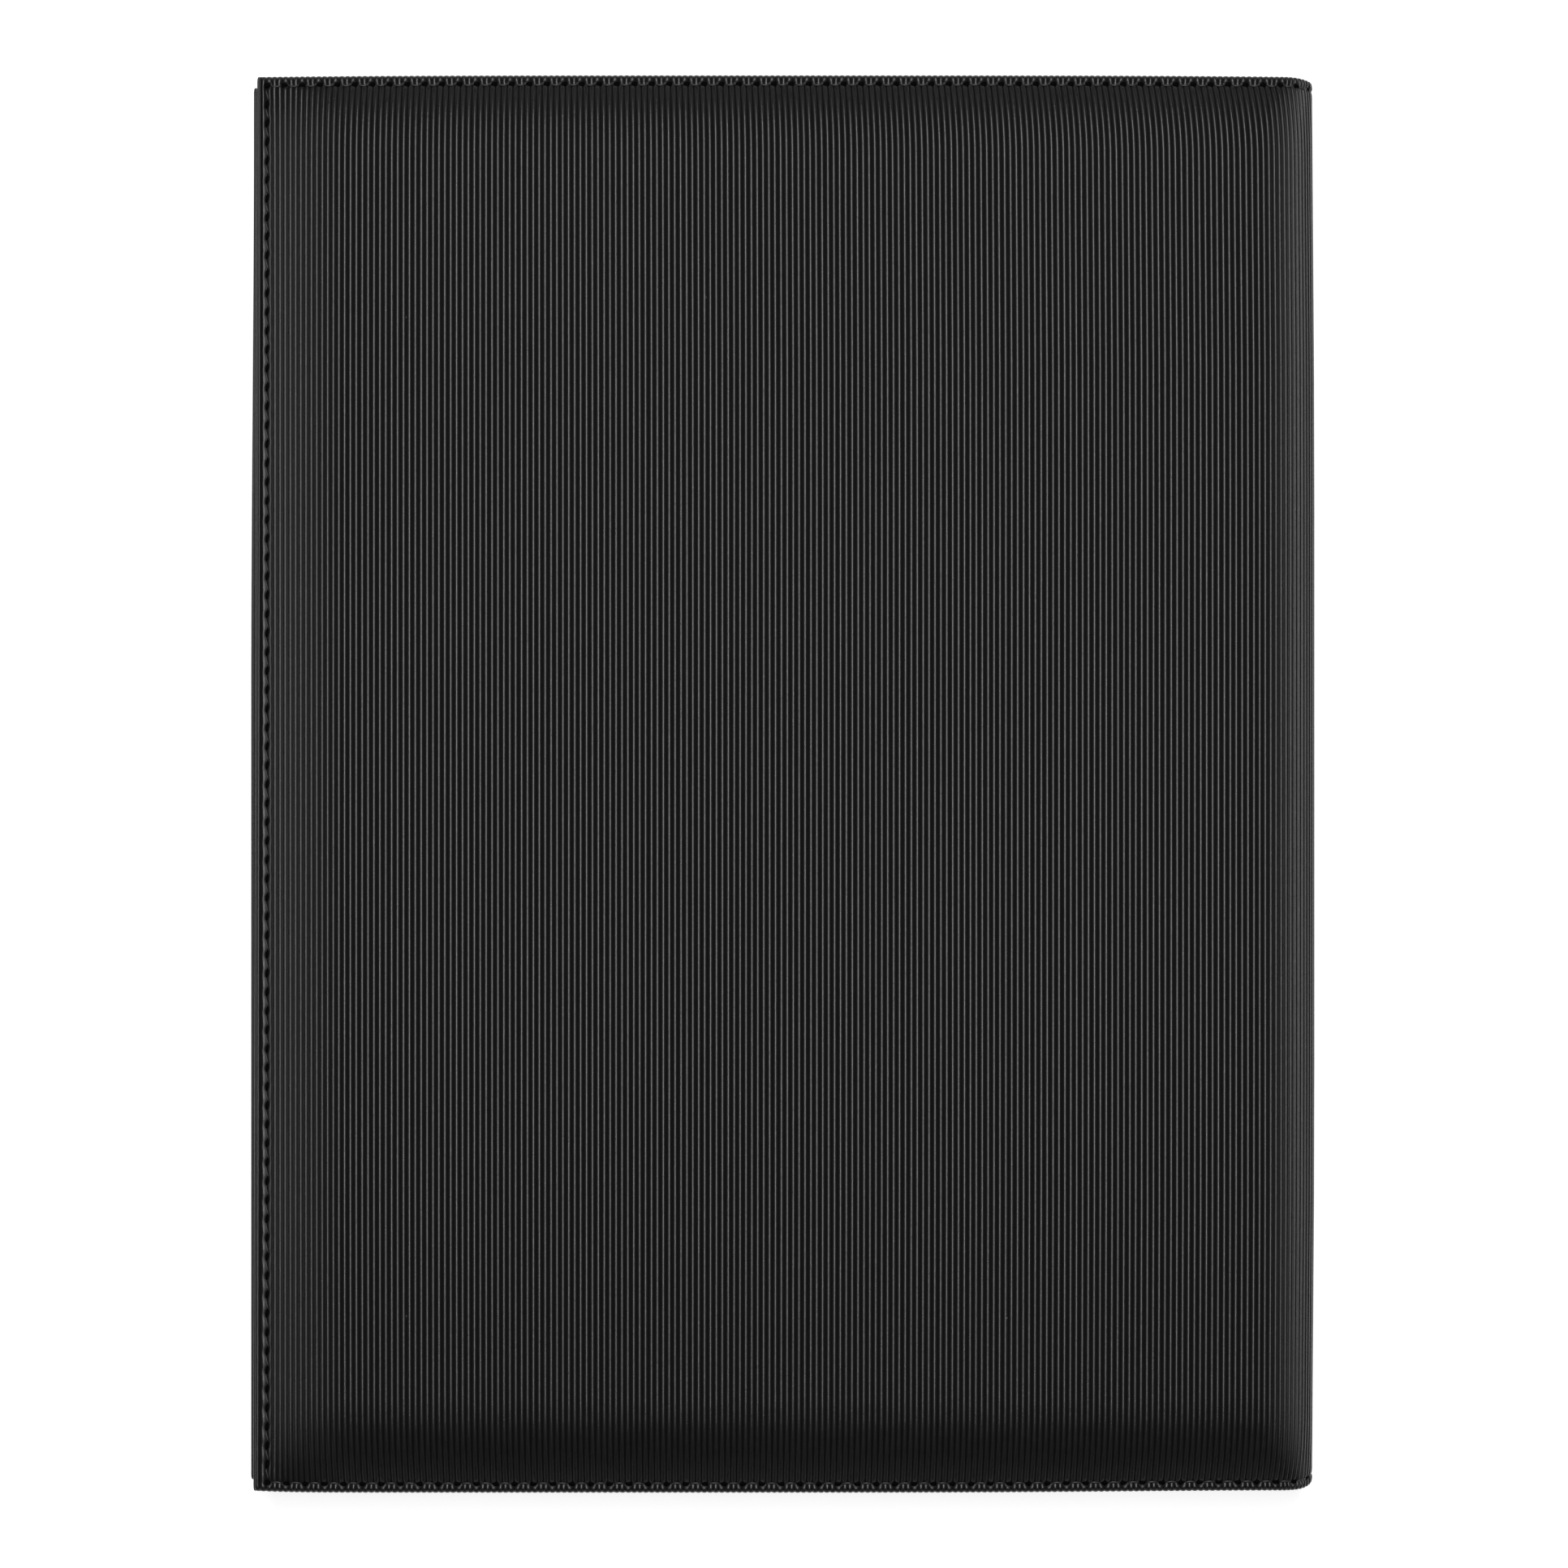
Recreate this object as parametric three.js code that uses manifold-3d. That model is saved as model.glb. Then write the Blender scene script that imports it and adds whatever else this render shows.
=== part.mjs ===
// A padded document folder with a ribbed, sewn cover, lying closed with its back cover up.
// Millimetres, +Z up, +Y along the spine, the spine on the +X side. The origin is under the middle.
import * as THREE from 'three';
import Module from 'manifold-3d';
import { mergeVertices } from 'three/addons/utils/BufferGeometryUtils.js';

// The closed folder
const width = 241.3;
const height = 317.5;
const thickness = 24;
const backCoverSetback = 2.85; // the upper, back cover stops short of the lower one's edge

// Layers, from the outside in
const skinThickness = 0.9;
const boardThickness = 1.6;
const turnInThickness = 0.6;
const liningThickness = 0.5;
const layerGap = 0.15; // clearance between two layers
const liningSlack = 0.5; // the lining hangs a little free in the roll of the spine
const liningLedge = 3.5; // the lining stays flat for this much beyond the board

// Sewn edges and padding
const edgeRadius = 1.2;
const seamInset = 2.1;
const turnInWidth = 12;
const paddingRise = 5.3; // how far the padding lifts the cover above its sewn edges
const paddingRun = 20; // how far in from a side seam the padding is at its full height
const paddingRunAtEnds = 15;
const paddingInset = 5; // from the edge to the start of the padding
const paddingSteps = 3;

// Ribs in the skin
const ribPitch = 1.31;
const ribDepth = 0.4;
const ribsFromCreaseToSpineBack = 6;

// Spine
const spineReach = 20; // how far the roll of the spine reaches into the covers
const spineReachAtEnds = 8;
const spinePullIn = 0.4; // the sewn ends of the spine are drawn in
const creaseGap = 0.3; // between the skins of a cover and the spine
const curlSteps = 5;

// Boards
const boardClearance = 6.5; // left free beside the board, up to the roll of the spine
const boardWidth = width - spineReach - boardClearance;

// Document pocket and card pockets, inside the front cover
const pocketThickness = 0.6;
const pocketMargin = 5;
const pocketHeight = 205;
const cardPocketWidth = 102;
const cardPocketHeight = 60;
const cardPocketStep = 22;
const cardPocketThickness = 0.4;
const cardPocketSide = 54; // from the pocket's outer edge
const cardPocketRise = 34;

// Writing pad and its sleeve, inside the back cover
const padEndMargin = 19.05; // from each end of the cover to the pad
const pagesThickness = 2.4;
const padBackingThickness = 0.6;
const padEdgeMargin = 4.5; // from the back cover's sewn edge to the pad
const padLoopClearance = 0.85; // from the pad to the pen loop
const sleeveThickness = 0.5;
const sleeveHeight = 118;
const sleeveMargin = 3;
const bindingWidth = 14;
const bindingThickness = 0.25;

// Pen loop, inside the spine
const penLoopWidth = 20;
const penLoopBand = 0.9;
const penLoopRadius = 5.9;
const penLoopStem = 1.5;
const penLoopSegments = 16;

// Depths below the outer surface at which each layer ends
const coreDepth = skinThickness + boardThickness;
const turnInDepth = coreDepth + turnInThickness;
const liningDepth = turnInDepth + liningThickness;

// Heights above the middle plane, used for both halves of the closed folder
const middleZ = thickness / 2;
const seamLevel = middleZ - paddingRise;
const turnInLevel = seamLevel - turnInDepth;
const innerLevel = seamLevel - liningDepth;

const spineBackX = width / 2;
const penLoopRootX = spineBackX - liningDepth - layerGap * 2;
const penLoopX = penLoopRootX - penLoopStem - penLoopRadius;
const frontEdgeX = -width / 2;
const backEdgeX = frontEdgeX + backCoverSetback;
const endY = height / 2;
const stations = [
  { y: endY, crown: 0 },
  { y: endY - paddingInset, crown: 1 - (1 - paddingInset / paddingRunAtEnds) ** 2 },
  { y: endY - paddingRunAtEnds, crown: 1 },
];

const UP = 1;
const DOWN = -1;
const mix = THREE.MathUtils.lerp;

const wasm = await Module();
wasm.setup();

// Solids from closed outlines

// An outline is a list of Vector2 (x, height above the middle plane); this turns it into (x, z).
function toSide(outline, side) {
  return outline.map((p) => new THREE.Vector2(p.x, middleZ + side * p.y));
}

// Joins outlines with equal numbers of points, each in a plane across Y, into one closed solid. The
// quads between two outlines are all divided the same way, so that layers keep their clearance.
function loft(sections) {
  const counterClockwise = THREE.ShapeUtils.area(sections[0].outline) > 0;
  const outlines = sections.map((s) => (counterClockwise ? s.outline : [...s.outline].reverse()));
  const count = outlines[0].length;
  const positions = [];
  outlines.forEach((outline, k) => {
    outline.forEach((p) => positions.push(p.x, sections[k].y, p.y));
  });
  const indices = [];
  for (let k = 0; k < outlines.length - 1; k += 1) {
    for (let i = 0; i < count; i += 1) {
      const j = (i + 1) % count;
      const a = k * count + i;
      const b = k * count + j;
      if (outlines[k][i].x < outlines[k][j].x) {
        indices.push(a, b + count, b, a, a + count, b + count);
      } else {
        indices.push(a, a + count, b, b, a + count, b + count);
      }
    }
  }
  const last = (outlines.length - 1) * count;
  THREE.ShapeUtils.triangulateShape(outlines[0], []).forEach(([a, b, c]) => indices.push(a, b, c));
  THREE.ShapeUtils.triangulateShape(outlines.at(-1), []).forEach(([a, b, c]) => {
    indices.push(last + a, last + c, last + b);
  });
  const geometry = new THREE.BufferGeometry();
  geometry.setAttribute('position', new THREE.Float32BufferAttribute(positions, 3));
  geometry.setIndex(indices);
  return geometry;
}

// A solid along the spine that stops at -ends and ends. Its outline is outlineAt(crown) at each
// station of the padding, and goes evenly from one station to the next.
function loftAlongSpine(outlineAt, side, ends) {
  const outlines = stations.map(({ y, crown }) => ({ y, outline: outlineAt(crown) }));
  const within = outlines.filter(({ y }) => y < ends);
  const beyond = outlines[outlines.length - within.length - 1];
  const [next] = within;
  const share = (ends - next.y) / (beyond.y - next.y);
  const endOutline = next.outline.map((p, i) => p.clone().lerp(beyond.outline[i], share));
  const half = [{ y: ends, outline: endOutline }, ...within].map(({ y, outline }) => (
    { y, outline: toSide(outline, side) }
  ));
  const otherHalf = half.map(({ y, outline }) => ({ y: -y, outline }));
  return loft([...otherHalf, ...half.reverse()]);
}

function box(xLow, xHigh, yLow, yHigh, zLow, zHigh) {
  const geometry = new THREE.BoxGeometry(xHigh - xLow, yHigh - yLow, zHigh - zLow);
  geometry.translate((xLow + xHigh) / 2, (yLow + yHigh) / 2, (zLow + zHigh) / 2);
  return geometry;
}

function solid(geometry) {
  const bare = geometry.clone();
  bare.deleteAttribute('normal');
  bare.deleteAttribute('uv');
  const merged = mergeVertices(bare);
  return new wasm.Manifold(new wasm.Mesh({
    numProp: 3,
    vertProperties: new Float32Array(merged.attributes.position.array),
    triVerts: new Uint32Array(merged.index.array),
  }));
}

function cut(geometry, ...cutters) {
  const result = cutters.reduce((left, cutter) => left.subtract(solid(cutter)), solid(geometry));
  const mesh = result.getMesh();
  const cutGeometry = new THREE.BufferGeometry();
  cutGeometry.setAttribute('position', new THREE.BufferAttribute(mesh.vertProperties, 3));
  cutGeometry.setIndex(new THREE.BufferAttribute(mesh.triVerts, 1));
  return cutGeometry;
}

// The section of the closed folder

// The outer line of one half, seen along the spine: up the sewn edge from the inner face, over the
// padding, and round to the back of the spine. Crown is 0 at the sewn ends and 1 at full padding.
// The cover leaves the seam at a slope, and is level by the time that it is at its full height.
function outerLine(edgeX, crown) {
  const top = seamLevel + paddingRise * crown;
  const reach = mix(spineReachAtEnds, spineReach, crown);
  const spineX = spineBackX - spinePullIn * (1 - crown);
  const seamX = edgeX + seamInset;
  const firstLift = (top - seamLevel) / 2;
  const line = new THREE.Path();
  line.moveTo(edgeX, turnInLevel);
  line.lineTo(edgeX, seamLevel - edgeRadius);
  line.absarc(edgeX + edgeRadius, seamLevel - edgeRadius, edgeRadius, Math.PI, Math.PI / 2, true);
  line.lineTo(seamX, seamLevel);
  line.bezierCurveTo(
    seamX + paddingRun / 3, seamLevel + firstLift,
    seamX + (paddingRun * 2) / 3, top,
    seamX + paddingRun, top,
  );
  line.lineTo(spineX - reach, top);
  line.absellipse(spineX - reach, 0, reach, top, Math.PI / 2, 0, true);
  return line;
}

// The point at a share of the line's length, moved inwards by depth.
function pointIn(line, share, depth) {
  const point = line.getPoint(share);
  const along = line.getTangent(share);
  return new THREE.Vector2(point.x + along.y * depth, point.y - along.x * depth);
}

// How one cover's line is divided: its rib count, and the shares at which its layers have points.
function divisions(edgeX) {
  const line = outerLine(edgeX, 1);
  const [, , toSeam, toFlat, toCurl, whole] = line.getCurveLengths();
  const ribs = Math.round(whole / ribPitch);
  const creaseLength = (whole * (ribs - ribsFromCreaseToSpineBack)) / ribs;
  const padding = Array.from({ length: paddingSteps + 1 }, (_, i) => (
    mix(toSeam, toFlat, i / paddingSteps) / whole
  ));
  const curl = Array.from({ length: curlSteps + 1 }, (_, i) => (
    mix(toCurl, creaseLength, i / curlSteps) / whole
  ));
  return { ribs, padding, curl, crease: creaseLength / whole, halfGap: creaseGap / 2 / whole };
}

// The ribbed surface from rib number first to rib number last: a valley, then a crest, for each.
function ribbedPoints(line, ribs, first, last) {
  const points = [];
  for (let rib = first; rib < last; rib += 1) {
    points.push(pointIn(line, rib / ribs, ribDepth));
    points.push(pointIn(line, (rib + 0.5) / ribs, 0));
  }
  return points;
}

const covers = {
  front: { edgeX: frontEdgeX, side: DOWN, parts: divisions(frontEdgeX) },
  back: { edgeX: backEdgeX, side: UP, parts: divisions(backEdgeX) },
};
for (const cover of Object.values(covers)) {
  cover.boardStartX = cover.edgeX + skinThickness + layerGap;
  cover.boardEndX = cover.boardStartX + boardWidth;
}

// A cover's line at one depth, from the crease back to the end of its board.
function curlBack(cover, line, depth) {
  const { curl, halfGap } = cover.parts;
  const shares = [curl.at(-1) - halfGap, ...curl.slice(2, -1).reverse()];
  return shares.map((share) => pointIn(line, share, depth));
}

// One cover

// The skin is turned in over the sewn edges: a tray whose rim covers the edge of the inner face.
function coverSkin(cover) {
  const { edgeX, side, parts, boardEndX } = cover;
  const creaseRib = parts.ribs - ribsFromCreaseToSpineBack;
  const whole = loftAlongSpine((crown) => {
    const line = outerLine(edgeX, crown);
    return [
      ...ribbedPoints(line, parts.ribs, 0, creaseRib),
      pointIn(line, parts.crease - parts.halfGap, ribDepth),
      ...curlBack(cover, line, turnInDepth),
      new THREE.Vector2(boardEndX, turnInLevel),
    ];
  }, side, endY);
  const hollow = loftAlongSpine((crown) => {
    const line = outerLine(edgeX, crown);
    const past = parts.crease + parts.halfGap;
    return [
      new THREE.Vector2(edgeX + skinThickness, seamLevel - coreDepth),
      new THREE.Vector2(edgeX + skinThickness, seamLevel - skinThickness),
      ...[...parts.padding, ...parts.curl].map((share) => pointIn(line, share, skinThickness)),
      pointIn(line, past, skinThickness),
      pointIn(line, past, coreDepth),
      ...curlBack(cover, line, coreDepth),
      new THREE.Vector2(boardEndX, seamLevel - coreDepth),
    ];
  }, side, endY - skinThickness);
  const opening = loftAlongSpine((crown) => {
    const line = outerLine(edgeX, crown);
    const past = parts.crease + parts.halfGap;
    const above = coreDepth - turnInThickness / 2;
    const below = turnInDepth + turnInThickness / 2;
    return [
      new THREE.Vector2(edgeX + turnInWidth, seamLevel - below),
      new THREE.Vector2(edgeX + turnInWidth, seamLevel - above),
      new THREE.Vector2(boardEndX, seamLevel - above),
      ...curlBack(cover, line, above).reverse(),
      pointIn(line, past, above),
      pointIn(line, past, below),
      ...curlBack(cover, line, below),
      new THREE.Vector2(boardEndX, seamLevel - below),
    ];
  }, side, endY - turnInWidth);
  return cut(whole, hollow, opening);
}

// Foam over the board, which goes on beyond the board's end to pad the roll of the spine.
function coverPadding(cover) {
  const { edgeX, side, parts, boardEndX } = cover;
  const outerDepth = skinThickness + layerGap;
  const innerDepth = coreDepth - layerGap;
  const boardTop = seamLevel - skinThickness + layerGap;
  return loftAlongSpine((crown) => {
    const line = outerLine(edgeX, crown);
    const outside = [...parts.padding.slice(1), ...parts.curl.slice(0, -1)];
    return [
      new THREE.Vector2(edgeX + paddingInset, boardTop),
      ...outside.map((share) => pointIn(line, share, outerDepth)),
      pointIn(line, parts.crease - parts.halfGap, outerDepth),
      ...curlBack(cover, line, innerDepth),
      new THREE.Vector2(boardEndX + layerGap, seamLevel - innerDepth),
      new THREE.Vector2(boardEndX + layerGap, boardTop),
    ];
  }, side, endY - paddingInset);
}

function coverBoard(cover) {
  const { boardStartX, boardEndX, side } = cover;
  const outerZ = middleZ + side * (seamLevel - skinThickness);
  const innerZ = middleZ + side * (seamLevel - coreDepth);
  const end = endY - skinThickness - layerGap;
  return box(boardStartX, boardEndX, -end, end, Math.min(outerZ, innerZ), Math.max(outerZ, innerZ));
}

// The lining lies over the turned-in rim, and follows the roll of the spine to the crease.
function coverLining(cover) {
  const { edgeX, side, boardEndX } = cover;
  const startX = edgeX + edgeRadius;
  const under = turnInDepth + layerGap;
  return loftAlongSpine((crown) => {
    const line = outerLine(edgeX, crown);
    return [
      new THREE.Vector2(startX, seamLevel - under),
      new THREE.Vector2(boardEndX + liningLedge, seamLevel - under),
      ...curlBack(cover, line, under + liningSlack).reverse(),
      ...curlBack(cover, line, liningDepth + liningSlack),
      new THREE.Vector2(boardEndX + liningLedge, innerLevel),
      new THREE.Vector2(startX, innerLevel),
    ];
  }, side, endY - edgeRadius);
}

// The spine

// A layer of the spine between two depths: down one side of the roll, and back up the other.
// The outside is a function of the line and the share where it starts. A cutter starts a gap early.
function spineOutline(crown, outside, innerDepth, isCutter = false) {
  const line = outerLine(backEdgeX, crown);
  const { crease, halfGap } = covers.back.parts;
  const start = isCutter ? crease - halfGap : crease + halfGap;
  const outer = outside(line, start);
  const inner = smoothArc(innerDepth)(line, start);
  const mirrored = (points) => points.map((p) => new THREE.Vector2(p.x, -p.y));
  const backwards = (points) => points.slice(0, -1).reverse();
  return [...outer, ...mirrored(backwards(outer)), ...mirrored(inner), ...backwards(inner)];
}

function smoothArc(depth) {
  return (line, start) => Array.from({ length: curlSteps + 1 }, (_, i) => (
    pointIn(line, mix(start, 1, i / curlSteps), depth)
  ));
}

function ribbedArc(line, start) {
  const { ribs } = covers.back.parts;
  const points = ribbedPoints(line, ribs, ribs - ribsFromCreaseToSpineBack, ribs);
  points[0] = pointIn(line, start, ribDepth);
  return [...points, pointIn(line, 1, ribDepth)];
}

function spineSkin() {
  const whole = loftAlongSpine((crown) => spineOutline(crown, ribbedArc, turnInDepth), UP, endY);
  const hollow = loftAlongSpine(
    (crown) => spineOutline(crown, smoothArc(skinThickness), coreDepth, true), UP, endY - skinThickness,
  );
  const above = coreDepth - turnInThickness / 2;
  const below = turnInDepth + turnInThickness / 2;
  const opening = loftAlongSpine(
    (crown) => spineOutline(crown, smoothArc(above), below, true), UP, endY - turnInWidth,
  );
  return cut(whole, hollow, opening);
}

function spineLayer(outerDepth, innerDepth, ends) {
  return loftAlongSpine((crown) => spineOutline(crown, smoothArc(outerDepth), innerDepth), UP, ends);
}

function spinePadding() {
  return spineLayer(skinThickness + layerGap, coreDepth - layerGap, endY - paddingInset);
}

function spineLining() {
  return spineLayer(turnInDepth + layerGap, liningDepth, endY - edgeRadius);
}

// The loop is a band of elastic, its two ends sewn together to the spine's lining.
function penLoop() {
  const stemAngle = Math.asin(penLoopBand / penLoopRadius);
  const shape = new THREE.Shape();
  shape.moveTo(penLoopRootX, -penLoopBand);
  shape.lineTo(penLoopRootX, penLoopBand);
  shape.absarc(penLoopX, 0, penLoopRadius, stemAngle, Math.PI * 2 - stemAngle, false);
  const hole = new THREE.Path();
  hole.absarc(penLoopX, 0, penLoopRadius - penLoopBand, 0, Math.PI * 2, false);
  shape.holes.push(hole);
  const geometry = new THREE.ExtrudeGeometry(shape, {
    depth: penLoopWidth, bevelEnabled: false, curveSegments: penLoopSegments,
  });
  geometry.translate(0, 0, -penLoopWidth / 2);
  geometry.rotateX(Math.PI / 2);
  geometry.translate(0, 0, middleZ);
  return geometry;
}

// What the covers hold

// A flat piece resting on the inner face of a cover, or on what already lies there.
function sheetOn(side, stackHeight, sheetThickness, xLow, xHigh, yLow, yHigh) {
  const near = middleZ + side * (innerLevel - stackHeight - layerGap);
  const far = near - side * sheetThickness;
  return box(xLow, xHigh, yLow, yHigh, Math.min(near, far), Math.max(near, far));
}

function documentPocket() {
  const { boardEndX } = covers.front;
  const low = -endY + pocketMargin;
  return sheetOn(DOWN, 0, pocketThickness, frontEdgeX + pocketMargin, boardEndX, low, low + pocketHeight);
}

function cardPocket(number) {
  const left = frontEdgeX + pocketMargin + cardPocketSide;
  const low = -endY + pocketMargin + cardPocketRise;
  const stack = pocketThickness + layerGap + number * (cardPocketThickness + layerGap);
  const top = low + cardPocketHeight + (1 - number) * cardPocketStep;
  return sheetOn(DOWN, stack, cardPocketThickness, left, left + cardPocketWidth, low, top);
}

const padLeftX = backEdgeX + padEdgeMargin;
const padRightX = penLoopX - penLoopRadius - padLoopClearance;
const padTopY = endY - padEndMargin;
const sleeveStack = padBackingThickness + layerGap;
const pagesStack = sleeveStack + sleeveThickness + layerGap;

function padBacking() {
  return sheetOn(UP, 0, padBackingThickness, padLeftX, padRightX, -padTopY, padTopY);
}

// The sleeve is sewn across the lower part of the cover; the pad's backing slides in behind it.
function padSleeve() {
  const left = backEdgeX + sleeveMargin;
  const low = -endY + sleeveMargin;
  return sheetOn(UP, sleeveStack, sleeveThickness, left, covers.back.boardEndX, low, low + sleeveHeight);
}

function padPages() {
  return sheetOn(UP, pagesStack, pagesThickness, padLeftX, padRightX, -padTopY, padTopY);
}

// Tape along the top of the pad, over its front and its top edge.
function padBinding() {
  const backZ = middleZ + innerLevel - layerGap;
  const frontZ = backZ - pagesStack - pagesThickness - layerGap;
  const tapeFrontZ = frontZ - bindingThickness;
  const tapeTopY = padTopY + layerGap + bindingThickness;
  const outline = [
    [padTopY - bindingWidth, frontZ], [padTopY + layerGap, frontZ], [padTopY + layerGap, backZ],
    [tapeTopY, backZ], [tapeTopY, tapeFrontZ], [padTopY - bindingWidth, tapeFrontZ],
  ].map(([y, z]) => new THREE.Vector2(y, z));
  const geometry = new THREE.ExtrudeGeometry(new THREE.Shape(outline), {
    depth: padRightX - padLeftX, bevelEnabled: false,
  });
  geometry.rotateX(Math.PI / 2);
  geometry.rotateZ(Math.PI / 2);
  geometry.translate(padLeftX, 0, 0);
  return geometry;
}

// The folder

const materials = {
  skin: new THREE.MeshStandardMaterial({ color: 0x161616, roughness: 0.45, metalness: 0 }),
  padding: new THREE.MeshStandardMaterial({ color: 0x4a4a4a, roughness: 0.95, metalness: 0 }),
  board: new THREE.MeshStandardMaterial({ color: 0x8d8170, roughness: 0.9, metalness: 0 }),
  lining: new THREE.MeshStandardMaterial({ color: 0x1c1c1d, roughness: 0.7, metalness: 0 }),
  pocket: new THREE.MeshStandardMaterial({ color: 0x181818, roughness: 0.55, metalness: 0 }),
  elastic: new THREE.MeshStandardMaterial({ color: 0x121212, roughness: 0.85, metalness: 0 }),
  paper: new THREE.MeshStandardMaterial({ color: 0xf2f0ea, roughness: 0.85, metalness: 0 }),
  cardboard: new THREE.MeshStandardMaterial({ color: 0x9a8c78, roughness: 0.9, metalness: 0 }),
  tape: new THREE.MeshStandardMaterial({ color: 0x20262e, roughness: 0.6, metalness: 0 }),
};

const folder = new THREE.Group();

function add(name, geometry, material) {
  const mesh = new THREE.Mesh(geometry, materials[material]);
  mesh.name = name;
  folder.add(mesh);
}

for (const [name, cover] of Object.entries(covers)) {
  add(`${name}_cover_skin`, coverSkin(cover), 'skin');
  add(`${name}_cover_padding`, coverPadding(cover), 'padding');
  add(`${name}_cover_board`, coverBoard(cover), 'board');
  add(`${name}_cover_lining`, coverLining(cover), 'lining');
}
add('spine_skin', spineSkin(), 'skin');
add('spine_padding', spinePadding(), 'padding');
add('spine_lining', spineLining(), 'lining');
add('pen_loop', penLoop(), 'elastic');
add('document_pocket', documentPocket(), 'pocket');
add('card_pocket_upper', cardPocket(0), 'pocket');
add('card_pocket_lower', cardPocket(1), 'pocket');
add('pad_backing', padBacking(), 'cardboard');
add('pad_sleeve', padSleeve(), 'pocket');
add('pad_pages', padPages(), 'paper');
add('pad_binding', padBinding(), 'tape');

export default folder;
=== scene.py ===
"""A ribbed document folder, closed, with its back cover up.

Lengths are in millimetres until a mesh is made. x runs across the covers from the sewn edge to the spine,
y runs along the spine and z runs up. The line of a cover is its cross-section along x: in under the sewn
edge, round it, over the padding and down the roll of the spine to the middle plane. A place on the skin is
given by the length s along that line, or by its share u, and by the distance d from a sewn end.
"""
import functools
import math

import bpy
import numpy as np
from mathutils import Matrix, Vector


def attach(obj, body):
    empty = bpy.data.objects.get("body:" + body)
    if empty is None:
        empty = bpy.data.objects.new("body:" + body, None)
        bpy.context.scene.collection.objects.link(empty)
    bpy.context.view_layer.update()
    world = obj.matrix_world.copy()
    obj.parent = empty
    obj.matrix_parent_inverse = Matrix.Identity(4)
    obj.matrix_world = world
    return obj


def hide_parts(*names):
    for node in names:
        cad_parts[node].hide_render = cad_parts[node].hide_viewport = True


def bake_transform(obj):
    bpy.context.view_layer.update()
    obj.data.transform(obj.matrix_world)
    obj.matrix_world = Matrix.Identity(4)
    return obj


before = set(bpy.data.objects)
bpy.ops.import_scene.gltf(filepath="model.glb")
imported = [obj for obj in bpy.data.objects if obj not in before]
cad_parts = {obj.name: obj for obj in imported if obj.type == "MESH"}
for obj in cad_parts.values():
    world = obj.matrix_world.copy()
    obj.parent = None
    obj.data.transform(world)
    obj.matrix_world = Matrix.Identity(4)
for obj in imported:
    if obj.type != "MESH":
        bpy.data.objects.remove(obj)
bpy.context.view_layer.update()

MM = 0.001

# The closed folder
WIDTH = 241.3
HEIGHT = 317.5
THICKNESS = 24.0
SETBACK = 2.85  # of the upper cover's edge from the lower one's
RISE = 5.3  # of the padding above the seam
RUN = 20.0  # of that rise, across the edge
RUN_AT_ENDS = 18.0
SLOW_RUN = 75.0  # of the last bit of the rise from the ends
SLOW_SHARE = 0.14
SPINE_REACH = 15.0  # of the spine's roll, across
SPINE_REACH_AT_ENDS = 8.0
SPINE_PULL_IN = 0.44  # at the ends
SPINE_PULL_REACH = 90.0
TURN_IN = 3.1  # thickness of a sewn edge
LINING = 3.6  # the same with the lining
EDGE_RADIUS = 1.2
WALL = 1.9  # the line's length where the edge's rounding starts
TUCK = 4.6  # how far the skin is turned in
SEAM = 2.1  # from the edge, seen from above
SEAM_FROM_EDGE = 5.4  # along the line
SEAM_FROM_END = 2.15
RIB_DEPTH = 0.42
HEM_RIBS = 5
WRAP_RIBS = 12

MIDDLE = THICKNESS / 2
SEAM_LEVEL = MIDDLE - RISE
TURN_IN_LEVEL = SEAM_LEVEL - TURN_IN
LINING_LEVEL = SEAM_LEVEL - LINING
END = HEIGHT / 2
SPINE_BACK = WIDTH / 2
CORE_DEPTH = TURN_IN / 2

# Needle holes, the grooves between them and the thread in them
GROOVE = 0.16
HOLE = 0.58
CALM = 0.55  # how much a groove flattens the ribs
HOLE_LEAN = 0.28  # slant of the edge's holes
HOLE_SHADE_DEPTH = 0.33  # depth of the near-black disc painted as the shade at the bottom of a hole
END_HOLE = (0.75, 0.55)  # half-lengths along the line and along y
EDGE_HOLE = (0.55, 1.0)
THREAD = 0.19  # radius of the thread on the outside
THREAD_LINING = 0.20
THREAD_POCKET = 0.17
THREAD_CENTRE = 0.12  # its depth in the skin
THREAD_DIP = 0.75  # how much deeper its ends lie

# Distances from the crease for a cover's skin and lining, which blend takes but does not use
SKIN_BEND = (-6.6, 6.6)  # for the skin, from before the crease to after it
LINING_BEND = (-0.5, 2.5)

rng = np.random.default_rng(7)


def smooth(t):
    t = np.clip(t, 0, 1)
    return t * t * (3 - 2 * t)


def bell(x, width):
    return np.exp(-(x / width) ** 2)


def wavy(place):
    """0 at whole numbers and 1 halfway between them."""
    return 0.5 - 0.5 * np.cos(2 * math.pi * place)


def rounded(near, radius):
    """How far a rounded rim lies below the face, at the distance near from its side."""
    return radius * (1 - math.sqrt(max(0, 1 - (1 - min(near, radius) / radius) ** 2)))


# Meshes

def new_object(name, vertices, faces, material, attributes=None, shade_smooth=True):
    """A mesh object from points in millimetres."""
    mesh = bpy.data.meshes.new(name)
    mesh.from_pydata([tuple(v) for v in np.asarray(vertices) * MM], [], [list(f) for f in faces])
    mesh.validate()
    for key, values in (attributes or {}).items():
        layer = mesh.attributes.new(key, "FLOAT", "POINT")
        layer.data.foreach_set("value", np.asarray(values, np.float32))
    if shade_smooth:
        mesh.polygons.foreach_set("use_smooth", np.ones(len(mesh.polygons), bool))
    obj = bpy.data.objects.new(name, mesh)
    bpy.context.scene.collection.objects.link(obj)
    obj.data.materials.append(material)
    return obj


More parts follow.
